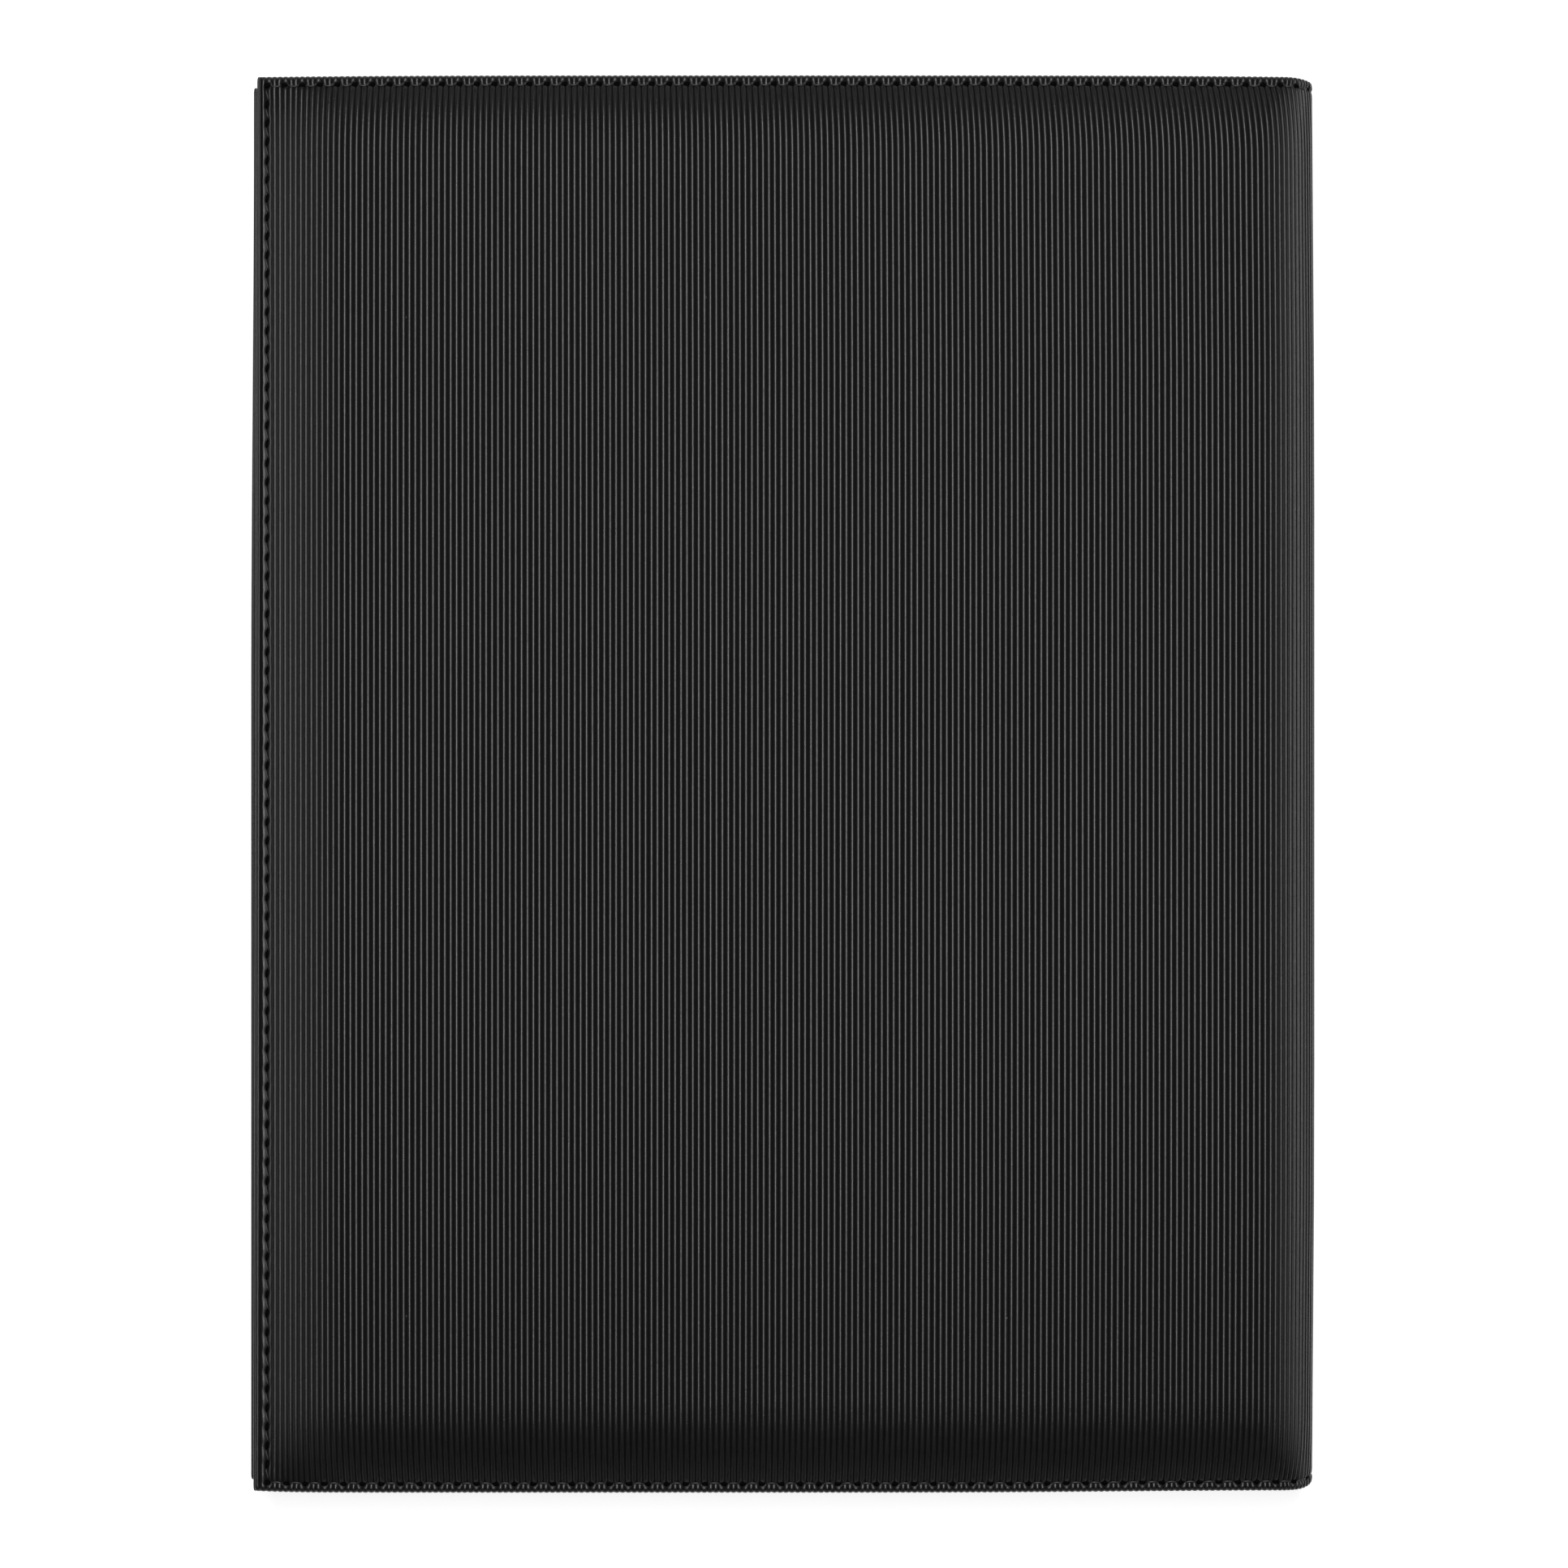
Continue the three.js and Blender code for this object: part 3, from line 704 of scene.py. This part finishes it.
def needle_holes(cover):
    """Near-black discs that paint the shade at the bottom of the needle holes: those on the cover, and those
    on the spine's roll.
    """
    rigid, wrapped = [], []

    def hole(s, d, end, half_lengths, lean):
        long_s, long_d = half_lengths
        ring = [(s + long_s * math.cos(a) + lean * long_d * math.sin(a), d + long_d * math.sin(a), HOLE_SHADE_DEPTH)
                for a in np.linspace(0, 2 * math.pi, 12, endpoint=False)]
        ring += [(s, d, HOLE_SHADE_DEPTH - 0.02), (s, d, HOLE_SHADE_DEPTH + 0.15)]
        points = np.array([cover.point(a, b, end, deep) for a, b, deep in ring])
        (wrapped if cover.in_roll(s, d, end) else rigid).append(lens(points[:-2], points[-2], points[-1]))

    for end in (-1, 1):
        for k in range(cover.stitches[end]):
            hole(SEAM_FROM_EDGE + cover.end_pitch[end] * k, SEAM_FROM_END, end, END_HOLE, 0)
    for k in range(1, cover.stitches_edge):
        y = -END + SEAM_FROM_END + cover.edge_pitch * k
        hole(SEAM_FROM_EDGE, END - abs(y), end_of(y), EDGE_HOLE, -HOLE_LEAN * end_of(y))
    return (joined(f"{cover.name}_needle_holes", rigid, HOLE_SHADE_MATERIAL),
            joined(f"{cover.name}_roll_needle_holes", wrapped, HOLE_SHADE_MATERIAL))


def blend(piece, cover, before, after):
    """Bake the transform of a piece into its mesh. The piece isn't bent, and cover, before and after are not
    used.
    """
    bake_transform(piece)


back_thread, back_roll_thread = stitches(back)
front_thread, front_roll_thread = stitches(front)
# Near-black discs painted as the shade in the needle holes.
back_hole_shade, back_roll_hole_shade = needle_holes(back)
front_hole_shade, front_roll_hole_shade = needle_holes(front)
ride((back_thread, back_hole_shade), "back_cover")
ride((front_thread, front_hole_shade), "front_cover")
for cover, pieces in ((back, (back_wrap, back_roll_thread, back_roll_hole_shade)),
                      (front, (front_wrap, front_roll_thread, front_roll_hole_shade))):
    for piece in pieces:
        blend(piece, cover, *SKIN_BEND)
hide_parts("spine_skin", "spine_padding")


# The lining

LINING_INSET = 1.2  # from the cover's edge
LINING_END = 157.5
LINING_RIM = 0.5
LINING_SEAM = 0.95  # from the lining's edge
RIM_STATIONS = [0, 0.06, 0.2, 0.4, 0.65, 0.9, 1.15, 1.4, 1.8, 2.5]
# from the flat inside of a cover, round the fold, to the middle of the spine
LINING_FOLD = [(98, 3.1), (104, 3.1), (108.5, 3.1), (110.5, 3.1), (111.8, 3.09), (112.8, 3.05), (113.6, 3.0),
               (114.3, 2.85), (114.85, 2.6), (115.35, 2.25), (115.8, 1.8), (116.2, 1.3), (116.5, 0.8),
               (116.7, 0.4), (116.75, 0)]


def near_edges(fine, start, end, step):
    """Stations from start to end: fine near both, and step apart between."""
    fine = np.asarray(fine, float)
    inner = np.arange(start + fine[-1], end - fine[-1], step)
    return np.unique(np.round(np.r_[start + fine, inner, end - fine], 4))


def lining(cover):
    """The lining cloth of one cover, on over the fold to the middle of the spine, and its flat size."""
    x0 = cover.edge_x + LINING_INSET
    xs = [*(x0 + np.array(RIM_STATIONS + [4])), *np.linspace(x0 + 7, 94, 22)]
    path = [(x, LINING_LEVEL) for x in xs] + LINING_FOLD
    ys = near_edges(RIM_STATIONS, -LINING_END, LINING_END, cover.edge_pitch / 4)

    def dent(place, from_rim):
        """How deep the seam presses the cloth in, most at the needle holes."""
        return (0.20 - 0.13 * wavy(place)) * bell(from_rim - LINING_SEAM, 0.3)

    points = []
    for y in ys:
        b = LINING_END - abs(y)
        for i, (x, h) in enumerate(path):
            a = x - x0
            drop = rounded(b, LINING_RIM)
            if i < len(xs):
                drop = max(drop, rounded(a, LINING_RIM)) + dent(cover.edge_stitch(y), a) * (b > 0.8)
            drop += dent((x - cover.edge_x) / cover.end_pitch[end_of(y)], b) * (a > 0.8)
            wave = 0.05 * math.sin(x / 17 + y / 41) * math.sin(y / 23) * min(1, a / 20) * min(1, b / 20)
            height = min(h + drop - abs(wave), TURN_IN_LEVEL)
            points.append((x, y, MIDDLE + cover.side * height))
    faces = grid_faces(len(ys), len(path), flip=cover.side == 1)
    piece = new_object(f"{cover.name}_lining_cloth", points, faces, LINING_MATERIAL)
    width = float(np.linalg.norm(np.diff(np.array(path), axis=0), axis=1).sum())
    return piece, (width * MM, 2 * LINING_END * MM)


def inner_stitches(cover):
    """The thread that shows on the lining."""
    t = np.linspace(0, 1, 7)
    z = MIDDLE + cover.side * (3.24 + 0.30 * np.abs(2 * t - 1) ** 5)
    parts = []
    for k in range(cover.stitches_edge):
        y = -END + SEAM_FROM_END + cover.edge_pitch * (k + 0.08 + 0.84 * t)
        parts.append(np.c_[np.full_like(y, cover.edge_x + SEAM), y, z])
    for end in (-1, 1):
        for k in range(int(214 / cover.end_pitch[end])):
            x = cover.edge_x + SEAM + cover.end_pitch[end] * (k + 0.08 + 0.84 * t)
            parts.append(np.c_[x, np.full_like(x, end * (END - SEAM_FROM_END)), z])
    return joined(f"{cover.name}_inner_thread", [capsule(p, THREAD_LINING, 6) for p in parts], THREAD_MATERIAL)


for cover in (back, front):
    cloth, flat = lining(cover)
    blend(cloth, cover, *LINING_BEND)
    if cover is back:
        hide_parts("back_cover_lining", "spine_lining")
    else:
        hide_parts("front_cover_lining")
    ride([inner_stitches(cover)], cover.name)


# Pockets

HEM = 3.2  # from a panel's side to the seam of its hem
SHARP_POCKET = 50
STITCH_ON_POCKET = 3.4
CARD_LEFT, CARD_RIGHT, CARD_BOTTOM = -61.65, 40.35, -119.75
CARD_SEAMS = [((-60.3, -118.4), (-60.3, -63)), ((-60.3, -118.4), (39, -118.4)),
              ((39, -118.4), (39, -63)), ((-58, -62.95), (37, -62.95))]


def panel(name, x0, x1, y0, y1, face, back_face, sag=0.0):
    """A flat pocket with rounded edges and a sewn hem along y1. Its face and its back are at these heights."""
    sign = 1 if face > back_face else -1
    radius = min(0.4, abs(face - back_face) * 0.8)
    fine = [0, 0.05, 0.13, 0.25, 0.4, 0.8, 1.8, HEM - 0.6, HEM - 0.3, HEM - 0.12, HEM + 0.12, HEM + 0.3,
            HEM + 0.6, 5]
    xs = near_edges(fine, x0, x1, 3.0)
    ys = near_edges(fine, y0, y1, 3.0)

    def height(x, y):
        near = min(x - x0, x1 - x, y - y0, y1 - y)
        low = rounded(near, radius) + 0.13 * bell(y1 - y - HEM, 0.28) * (near > 1.0)
        low += sag * min(1, near / 25) * (0.5 + 0.5 * math.sin(x / 31 + 0.7) * math.sin(y / 37 + 0.3))
        return face - sign * low

    points = [(x, y, height(x, y)) for y in ys for x in xs]
    columns, rows = len(xs), len(ys)
    faces = grid_faces(rows, columns, flip=sign < 0)
    border = [*range(columns), *(r * columns + columns - 1 for r in range(1, rows)),
              *((rows - 1) * columns + c for c in range(columns - 2, -1, -1)),
              *(r * columns for r in range(rows - 2, 0, -1))]
    base = len(points)
    points += [(points[i][0], points[i][1], back_face) for i in border]
    for i in range(len(border)):
        j = (i + 1) % len(border)
        quad = (border[i], base + i, base + j, border[j])
        faces.append(quad if sign > 0 else quad[::-1])
    under = tuple(base + i for i in range(len(border)))
    faces.append(under[::-1] if sign > 0 else under)
    return shade(new_object(name, points, faces, POCKET_MATERIAL), SHARP_POCKET)


def row_of_stitches(name, lines, face, sign):
    """Thread along straight lines ((x, y) to (x, y)) on a face."""
    t = np.linspace(0, 1, 7)
    z = face - sign * (0.16 * np.abs(2 * t - 1) ** 5 - 0.02)
    parts = []
    for a, b in np.array(lines, float):
        count = int(np.linalg.norm(b - a) / STITCH_ON_POCKET)
        for k in range(count):
            along = (k + 0.1 + 0.8 * t)[:, None] / count
            parts.append(capsule(np.c_[a + (b - a) * along, z], THREAD_POCKET, 6))
    return joined(name, parts, THREAD_MATERIAL)


document = panel("pocket_for_papers", -115.65, 95.2, -153.75, 51.25, 9.65, 9.05, sag=0.1)
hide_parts("document_pocket")
upper_card = panel("upper_card_slot", CARD_LEFT, CARD_RIGHT, CARD_BOTTOM, -37.75, 10.2, 9.8)
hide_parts("card_pocket_upper")
lower_card = panel("lower_card_slot", CARD_LEFT, CARD_RIGHT, CARD_BOTTOM, -59.75, 10.75, 10.35)
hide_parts("card_pocket_lower")
pocket_threads = [
    row_of_stitches("pocket_for_papers_thread", [((-112, 48.05), (92, 48.05))], 9.62, 1),
    row_of_stitches("upper_card_slot_thread", [((-58, -40.95), (37, -40.95))], 10.17, 1),
    row_of_stitches("lower_card_slot_thread", CARD_SEAMS, 10.72, 1),
]
ride([document, upper_card, lower_card, *pocket_threads], "front_cover")

sleeve = panel("sleeve_for_pad", -114.8, 98.05, -155.75, -37.75, 13.7, 14.2)
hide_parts("pad_sleeve")
sleeve_thread = row_of_stitches("sleeve_for_pad_thread", [((-112, -40.95), (95, -40.95))], 13.73, -1)
ride((sleeve, sleeve_thread), "back_cover")


# The pad and the pen loop

def stack_of_pages():
    """The sheets of the pad, in layers. Each lies a little off the one below."""
    layers = 20
    gap = 0.012  # above and below each layer
    step = (PAD_BOTTOM_FACE - PAD_TOP_FACE) / layers
    sheet_x = [PAD_LEFT, PAD_LEFT + 60, PAD_RIGHT - 60, PAD_RIGHT]
    sheet_y = [-PAD_END, -PAD_END + 50, 0, PAD_END - 50, PAD_END]
    outline = [(x, -PAD_END) for x in sheet_x] + [(PAD_RIGHT, y) for y in sheet_y[1:]]
    outline += [(x, PAD_END) for x in sheet_x[-2::-1]] + [(PAD_LEFT, y) for y in sheet_y[-2:0:-1]]
    outline = np.array(outline)
    count = len(outline)
    points = []
    for k in range(layers):
        right, left, bottom, _ = rng.uniform(-0.12, 0.0, 4)
        ring = outline.copy()
        ring[:, 0] += np.where(ring[:, 0] > 0, right, -left) * (np.abs(ring[:, 0]) > 100)
        ring[:, 1] -= bottom * (ring[:, 1] < -139)
        for z in (PAD_TOP_FACE + k * step + gap, PAD_TOP_FACE + (k + 1) * step - gap):
            points.extend((x, y, z) for x, y in ring)
    faces = grid_faces(2 * layers, count, closed=True)
    faces.append(tuple(range(count))[::-1])
    faces.append(tuple(range((2 * layers - 1) * count, 2 * layers * count)))
    return new_object("writing_pad_pages", points, faces, PAPER_MATERIAL, shade_smooth=False)


pages = stack_of_pages()
ride([pages], "back_cover")
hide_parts("pad_pages")


def elastic_loop():
    """The pen loop: a flat elastic band bent round, with its ends sewn down at the spine."""
    centre_x, radius, band, stem_x, gap = 109.35, 5.9, 0.9, 116.6, 1.55
    half_width = 10.0
    cords = 16
    turn = np.linspace(math.radians(12), math.radians(348), 49)
    ring = np.c_[np.cos(turn), np.sin(turn)]
    outer = np.concatenate([[(stem_x, gap), (115.9, gap)], (centre_x, 0) + radius * ring,
                            [(115.9, -gap), (stem_x, -gap)]])
    inner = np.concatenate([[(stem_x, 0.04), (114.7, 0.04)], (centre_x, 0) + (radius - band) * ring,
                            [(114.7, -0.04), (stem_x, -0.04)]])
    outward = outer - inner
    outward /= np.linalg.norm(outward, axis=1)[:, None]
    across = np.array([(k + t) / cords for k in range(cords) for t in (0, 0.25, 0.5, 0.75)] + [1.0])
    ridge = 0.06 * np.abs(np.sin(np.pi * across * cords))
    ridge[[0, -1]] = 0.25
    points = []
    for share, low in zip(across, ridge):
        y = half_width * (2 * share - 1)
        section = np.concatenate([outer - outward * low, (inner + outward * low * 0.6)[::-1]])
        points.extend((x, y, MIDDLE + z) for x, z in section)
    count = 2 * len(outer)
    faces = grid_faces(len(across), count, closed=True)
    for base, turned in ((0, True), ((len(across) - 1) * count, False)):
        for i in range(len(outer) - 1):
            quad = (base + i, base + i + 1, base + count - 2 - i, base + count - 1 - i)
            faces.append(quad if turned else quad[::-1])
    return shade(new_object("elastic_pen_loop", points, faces, ELASTIC_MATERIAL), 55)


loop = elastic_loop()
ride([loop], "spine")
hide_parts("pen_loop")


# The solids that stay

for node, material in (("front_cover_board", BOARD_MATERIAL), ("back_cover_board", BOARD_MATERIAL),
                       ("pad_backing", CARD_MATERIAL), ("pad_binding", TAPE_MATERIAL)):
    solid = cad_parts[node]
    solid.data.materials.clear()
    solid.data.materials.append(material)
    soften = solid.modifiers.new("soften", "BEVEL")
    soften.width = 0.2 * MM
    soften.segments = 2


# World, floor, light and camera, in metres

AMBIENT = 0.05
FLOOR_HALF = 3.0
FLOOR_WHITE = 0.8
FLOOR_GLOW = {"From Min": 0.5, "From Max": 1.4, "To Min": 0.6, "To Max": 1.0}
LAMP_PLACE = (0.0, 0.50, 1.30)
LAMP_SIZE = (0.50, 2.00)
LAMP_POWER = 18.5
CAMERA_DISTANCE = 0.65
FRAME_WIDTH = 0.3511  # of what the camera sees at that distance
SENSOR = 36


def build_world():
    """A weak even light. Beyond the floor the camera sees plain white, which lights nothing."""
    world = bpy.data.worlds.new("studio")
    bpy.context.scene.world = world
    world.use_nodes = True
    tree = world.node_tree
    light = tree.nodes["Background"]
    light.inputs["Color"].default_value = (1, 1, 1, 1)
    light.inputs["Strength"].default_value = AMBIENT
    white = add_node(tree, "Background", {"Color": (1, 1, 1, 1), "Strength": 1.0})
    seen = add_node(tree, "LightPath").outputs["Is Camera Ray"]
    choose = add_node(tree, "MixShader", {0: seen, 1: light.outputs[0], 2: white.outputs[0]})
    put(tree, tree.nodes["World Output"].inputs["Surface"], choose.outputs[0])


def build_floor():
    """A white floor. Its glow, which only the camera and reflections see, is weak round the folder, where the
    shadow falls, and full further out."""
    material = bpy.data.materials.new("floor")
    material.use_nodes = True
    tree = material.node_tree
    tree.nodes.clear()
    path = add_node(tree, "LightPath").outputs
    seen = path["Is Camera Ray"]
    for kind in ("Is Glossy Ray", "Is Transmission Ray"):
        seen = add_node(tree, "Math", {0: seen, 1: path[kind]}, operation="MAXIMUM").outputs[0]
    place = add_node(tree, "TexCoord").outputs["Object"]
    reach = add_node(tree, "VectorMath", {0: place}, operation="LENGTH").outputs["Value"]
    fade = add_node(tree, "MapRange", {**FLOOR_GLOW, "Value": reach}).outputs["Result"]
    strength = add_node(tree, "Math", {0: seen, 1: fade}, operation="MULTIPLY").outputs[0]
    glow = add_node(tree, "Emission", {"Strength": strength})
    diffuse = add_node(tree, "BsdfDiffuse", {"Color": (FLOOR_WHITE, FLOOR_WHITE, FLOOR_WHITE, 1)})
    both = add_node(tree, "AddShader", {0: diffuse.outputs[0], 1: glow.outputs[0]})
    add_node(tree, "OutputMaterial", {"Surface": both.outputs[0]})
    mesh = bpy.data.meshes.new("floor")
    corners = [(-1, -1, 0), (1, -1, 0), (1, 1, 0), (-1, 1, 0)]
    mesh.from_pydata([(x * FLOOR_HALF, y * FLOOR_HALF, z) for x, y, z in corners], [], [(0, 1, 2, 3)])
    mesh.materials.append(material)
    floor = bpy.data.objects.new("floor", mesh)
    floor.location.z = -0.2 * MM
    bpy.context.scene.collection.objects.link(floor)


def build_lamp():
    """One long softbox overhead, reaching far up beyond the top of the folder."""
    light = bpy.data.lights.new("overhead", "AREA")
    light.shape = "RECTANGLE"
    light.size, light.size_y = LAMP_SIZE
    light.energy = LAMP_POWER
    lamp = bpy.data.objects.new("overhead", light)
    lamp.location = LAMP_PLACE
    lamp.rotation_euler = Vector((0, 0, -1)).to_track_quat("-Z", "Y").to_euler()
    bpy.context.scene.collection.objects.link(lamp)


def build_camera():
    """Straight above the folder."""
    camera = bpy.data.cameras.new("camera")
    camera.sensor_width = SENSOR
    camera.sensor_height = SENSOR
    camera.sensor_fit = "HORIZONTAL"
    camera.lens = SENSOR / FRAME_WIDTH * CAMERA_DISTANCE
    camera.clip_start = 0.01
    camera.clip_end = 20
    eye = bpy.data.objects.new("camera", camera)
    eye.location = (0.8 * MM, 0.0, (MIDDLE + SEAM_LEVEL) * MM + CAMERA_DISTANCE)
    bpy.context.scene.collection.objects.link(eye)
    bpy.context.scene.camera = eye


build_world()
build_floor()
build_lamp()
build_camera()
bpy.context.scene.view_settings.view_transform = "Standard"
